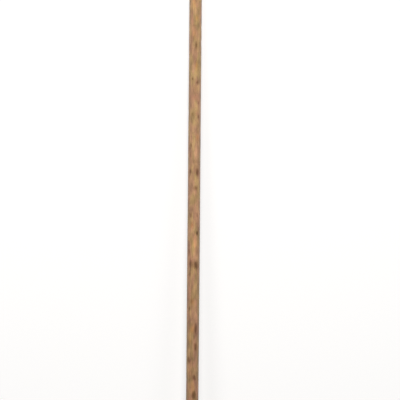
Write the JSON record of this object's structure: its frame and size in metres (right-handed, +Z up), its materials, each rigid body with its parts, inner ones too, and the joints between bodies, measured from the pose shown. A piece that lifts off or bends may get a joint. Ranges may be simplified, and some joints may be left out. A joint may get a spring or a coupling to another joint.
{
  "type": "wooden hay rake",
  "caption": "Long round wooden pole tenoned into a tapered head of leaning peg teeth, braced by bent wooden bows through the pole; a hand rake for gathering hay.",
  "frame": {"origin": "on the ground under the pole, half way between the front of the head and the end of the pole", "axes": "+Y from the head to the held end of the pole, +Z up, X along the head; the rake lies on the tips of its teeth and the end of its pole"},
  "size_m": [0.7, 1.8284, 0.1445],
  "materials": {
    "pole_wood": "old bare ash, golden brown, hand-polished with darker streaks and flecks",
    "head_wood": "old planed hardwood, weathered brown, dark in the grain",
    "tooth_wood": "whittled hardwood pegs, rubbed smooth and paler at the tips",
    "bow_wood": "bent rods of straight-grained wood, brown and slightly polished",
    "wedge_wood": "split hardwood wedge, end grain dark",
    "iron": "wire nails, rusted dark brown"
  },
  "bodies": {
    "root": {"handle": "pole_wood", "head": "head_wood", "tenon_wedge": "wedge_wood", "tenon_nail": "iron", "bow_nails_handle": "iron", "bow_nails_head": "iron", "inner_bow": "bow_wood", "middle_bow": "bow_wood", "outer_bow": "bow_wood", "tooth_01": "tooth_wood", "tooth_02": "tooth_wood", "tooth_03": "tooth_wood", "tooth_04": "tooth_wood", "tooth_05": "tooth_wood", "tooth_06": "tooth_wood", "tooth_07": "tooth_wood", "tooth_08": "tooth_wood", "tooth_09": "tooth_wood", "tooth_10": "tooth_wood", "tooth_11": "tooth_wood", "tooth_12": "tooth_wood", "tooth_13": "tooth_wood", "tooth_14": "tooth_wood"}
  },
  "joints": []
}
